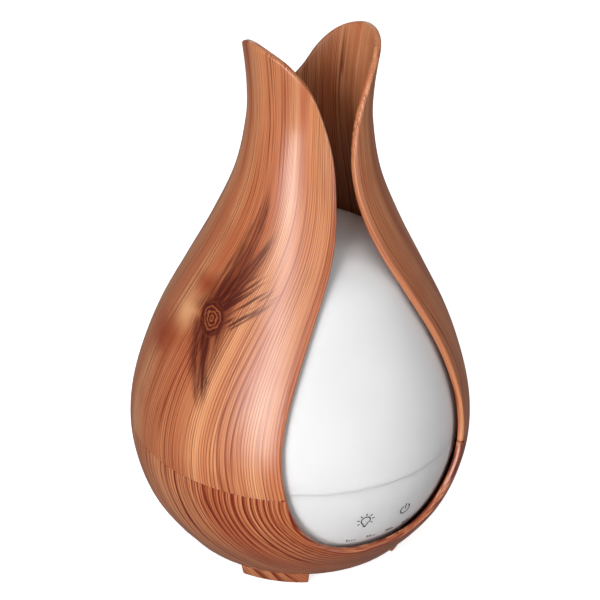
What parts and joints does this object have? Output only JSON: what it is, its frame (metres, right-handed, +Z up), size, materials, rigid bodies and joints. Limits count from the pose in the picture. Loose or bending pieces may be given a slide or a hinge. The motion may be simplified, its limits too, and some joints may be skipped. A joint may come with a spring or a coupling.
{
  "type": "cool mist humidifier",
  "caption": "Tulip-shaped cool mist humidifier: wood-grain petals round a white light dome, over a bowl with tank, mist transducer, fan and touch panel. Its cover lifts off.",
  "frame": {"origin": "centre of the overall box, on the surface that the feet stand on; the shell's own axis is vertical and 2.8 mm in front of it, at y = -0.0028", "axes": "+Z up, -Y out of the front, where the opening and the touch icons are, +X to the right as seen from the front"},
  "size_m": [0.1682, 0.1626, 0.2606],
  "materials": {
    "wood_grain": "satin wood-grain film, long dark grain and one knot",
    "wood_tone_plastic": "plain moulded",
    "white_diffuser": "smooth translucent satin",
    "white_plastic": "smooth",
    "silicone": "matt",
    "rubber_foot": "matt",
    "steel": "zinc plated",
    "brass": "plain",
    "circuit_board": "solder mask",
    "black_plastic": "fine texture",
    "led_lens": "clear yellow",
    "aluminium": "extruded",
    "copper": "enamelled winding",
    "lead_sleeve": "soft sleeve"
  },
  "bodies": {
    "base": {"lower_shell": "wood_grain", "bottom_cover": "wood_tone_plastic", "base_housing": "white_diffuser", "water_tank": "white_plastic", "tank_floor": "white_plastic", "air_chimney": "white_plastic", "air_duct": "white_plastic", "transducer_seal": "silicone", "piezo_disc": "brass", "transducer_plate": "steel", "led_board": "circuit_board", "main_board": "circuit_board", "touch_board": "circuit_board", "heat_sink": "aluminium", "power_transistor": "black_plastic", "inductor": "copper", "capacitor": "black_plastic", "control_chip": "black_plastic", "lead_header": "white_plastic", "dc_jack": "black_plastic", "touch_spring_1": "steel", "touch_spring_2": "steel", "fan_frame": "black_plastic", "foot_pad_1": "rubber_foot", "bottom_screw_1": "steel", "foot_pad_2": "rubber_foot", "bottom_screw_2": "steel", "foot_pad_3": "rubber_foot", "bottom_screw_3": "steel", "foot_pad_4": "rubber_foot", "bottom_screw_4": "steel", "transducer_screw_1": "steel", "transducer_screw_2": "steel", "transducer_screw_3": "steel", "led_1": "led_lens", "led_2": "led_lens", "led_3": "led_lens", "led_4": "led_lens", "led_5": "led_lens", "led_6": "led_lens", "board_screw_1": "steel", "fan_screw_1": "steel", "board_screw_2": "steel", "fan_screw_2": "steel", "transducer_lead": "lead_sleeve", "led_lead": "lead_sleeve", "fan_lead": "lead_sleeve", "touch_lead": "lead_sleeve", "power_lead": "lead_sleeve"},
    "cover": {"petal_shell": "wood_grain", "dome_diffuser": "white_diffuser", "mist_nozzle": "white_plastic", "mist_tube": "white_plastic"},
    "fan_rotor": {"fan_rotor": "black_plastic"}
  },
  "joints": [
    {"name": "cover_lift", "type": "slide", "parent": "base", "child": "cover", "axis": [0, 0, 1], "range_m": [0, 0.12]},
    {"name": "fan_spin", "type": "hinge", "parent": "base", "child": "fan_rotor", "pos_m": [-0.022, -0.0028, 0.016], "axis": [0, 0, 1], "continuous": true}
  ]
}
